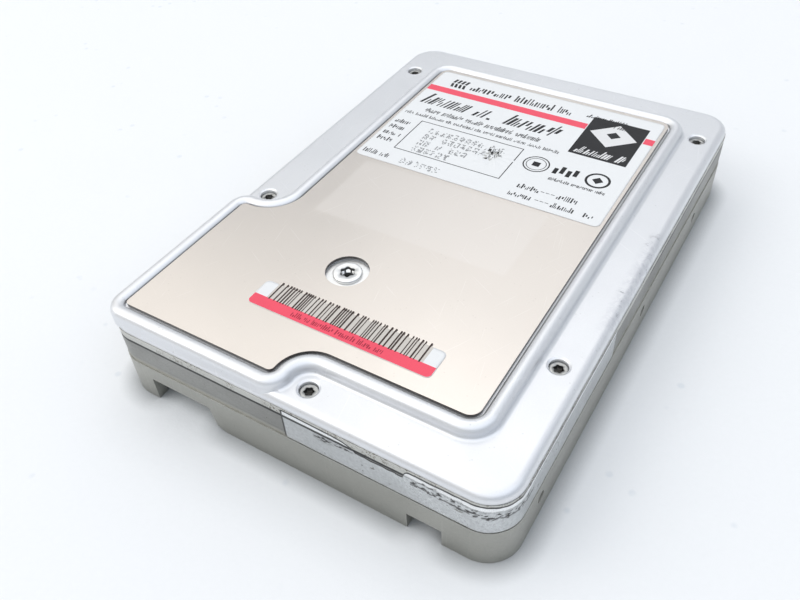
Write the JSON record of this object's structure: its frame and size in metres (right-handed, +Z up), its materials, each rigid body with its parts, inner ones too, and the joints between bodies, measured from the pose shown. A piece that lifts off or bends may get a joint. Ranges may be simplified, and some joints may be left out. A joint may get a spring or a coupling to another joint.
{
  "type": "hard disk drive",
  "caption": "Flat metal hard disk drive with a screwed cover, a raised ridge round a damping plate, seam tape, discs and a swinging head arm inside, and data and power sockets at one end.",
  "frame": {"origin": "centre of the underside of the case, on the plane it lies on", "axes": "+X right, +Y to the connector end along the length, +Z up through the cover"},
  "size_m": [0.1016, 0.146, 0.0254],
  "materials": {
    "cast_aluminium": "matt die casting",
    "cover_aluminium": "satin pressed cover",
    "plate_steel": "warm satin sheet",
    "plated_screws": "zinc plated",
    "bright_washer": "bright",
    "label_film": "printed film",
    "foil_tape_dull": "dull metal foil",
    "foil_tape_bright": "bright wrinkled foil",
    "ground_steel": "ground",
    "lamination_steel": "stacked laminations",
    "copper_wire": "enamelled copper windings",
    "bearing_balls": "polished",
    "turned_aluminium": "turned",
    "bonded_magnet": "bonded ferrite",
    "disc_surface": "mirror finish",
    "black_screws": "black oxide",
    "milled_aluminium": "milled",
    "black_plastic": "moulded",
    "spring_steel": "thin spring steel",
    "slider_ceramic": "sintered ceramic",
    "nickel_steel": "nickel plated",
    "nickel_magnet": "nickel plated",
    "black_rubber": "moulded rubber",
    "amber_film": "polyimide film",
    "filter_cloth": "non-woven",
    "green_board": "solder mask",
    "chip_resin": "moulded resin",
    "crystal_can": "drawn can",
    "insulator_foam": "thin foam",
    "connector_black": "moulded nylon",
    "gold_pins": "gold flash",
    "connector_white": "moulded nylon",
    "tin_pins": "tin plated",
    "jumper_blue": "moulded"
  },
  "bodies": {
    "case": {"base_casting": "cast_aluminium", "top_cover": "cover_aluminium", "damping_plate": "plate_steel", "cover_screws": "plated_screws", "pivot_washer": "bright_washer", "pivot_top_screw": "plated_screws", "spindle_top_screw": "plated_screws", "main_label": "label_film", "barcode_label": "label_film", "seal_tape": "foil_tape_dull", "seal_tape_overlap": "foil_tape_bright", "spindle_shaft": "ground_steel", "stator_core": "lamination_steel", "stator_windings": "copper_wire", "spindle_inner_races": "ground_steel", "pivot_shaft": "ground_steel", "pivot_inner_races": "ground_steel", "lower_yoke": "nickel_steel", "upper_yoke": "nickel_steel", "lower_magnet": "nickel_magnet", "upper_magnet": "nickel_magnet", "yoke_posts": "nickel_steel", "yoke_screws": "black_screws", "crash_stops": "black_rubber", "flex_cable": "amber_film", "flex_bracket": "black_plastic", "recirculation_filter": "filter_cloth", "breather_filter": "filter_cloth", "circuit_board": "green_board", "controller_chip": "chip_resin", "channel_chip": "chip_resin", "motor_driver_chip": "chip_resin", "firmware_chip": "chip_resin", "crystal": "crystal_can", "board_insulator": "insulator_foam", "board_screws": "plated_screws", "data_connector": "connector_black", "data_pins": "gold_pins", "power_connector": "connector_white", "power_pins": "tin_pins", "jumper_block": "connector_black", "jumper_pins": "gold_pins"},
    "spindle_rotor": {"spindle_hub": "turned_aluminium", "hub_end_cap": "turned_aluminium", "rotor_magnet": "bonded_magnet", "spindle_outer_races": "ground_steel", "lower_disc": "disc_surface", "upper_disc": "disc_surface", "disc_spacer": "turned_aluminium", "disc_clamp": "turned_aluminium", "clamp_screws": "black_screws"},
    "spindle_ball_set": {"spindle_balls": "bearing_balls"},
    "head_actuator": {"actuator_block": "milled_aluminium", "coil_frame": "black_plastic", "voice_coil": "copper_wire", "head_suspensions": "spring_steel", "head_sliders": "slider_ceramic", "pivot_outer_races": "ground_steel"},
    "pivot_ball_set": {"pivot_balls": "bearing_balls"},
    "jumper": {"jumper_cap": "jumper_blue"}
  },
  "joints": [
    {"name": "spindle_spin", "type": "hinge", "parent": "case", "child": "spindle_rotor", "pos_m": [0, 0.021, 0.012], "axis": [0, 0, 1], "continuous": true},
    {"name": "spindle_ball_orbit", "type": "hinge", "parent": "case", "child": "spindle_ball_set", "pos_m": [0, 0.021, 0.012], "axis": [0, 0, 1], "continuous": true},
    {"name": "actuator_swing", "type": "hinge", "parent": "case", "child": "head_actuator", "pos_m": [-0.008, -0.036, 0.015], "axis": [0, 0, 1], "range_deg": [-30, 0]},
    {"name": "pivot_ball_orbit", "type": "hinge", "parent": "case", "child": "pivot_ball_set", "pos_m": [-0.008, -0.036, 0.015], "axis": [0, 0, 1], "range_deg": [-18.1, 0]},
    {"name": "jumper_pull", "type": "slide", "parent": "case", "child": "jumper", "axis": [0, 1, 0], "range_m": [0, 0.006]}
  ],
  "couplings": [
    {"joint": "spindle_ball_orbit", "follows": "spindle_spin", "ratio": 0.6032},
    {"joint": "pivot_ball_orbit", "follows": "actuator_swing", "ratio": 0.6032}
  ]
}
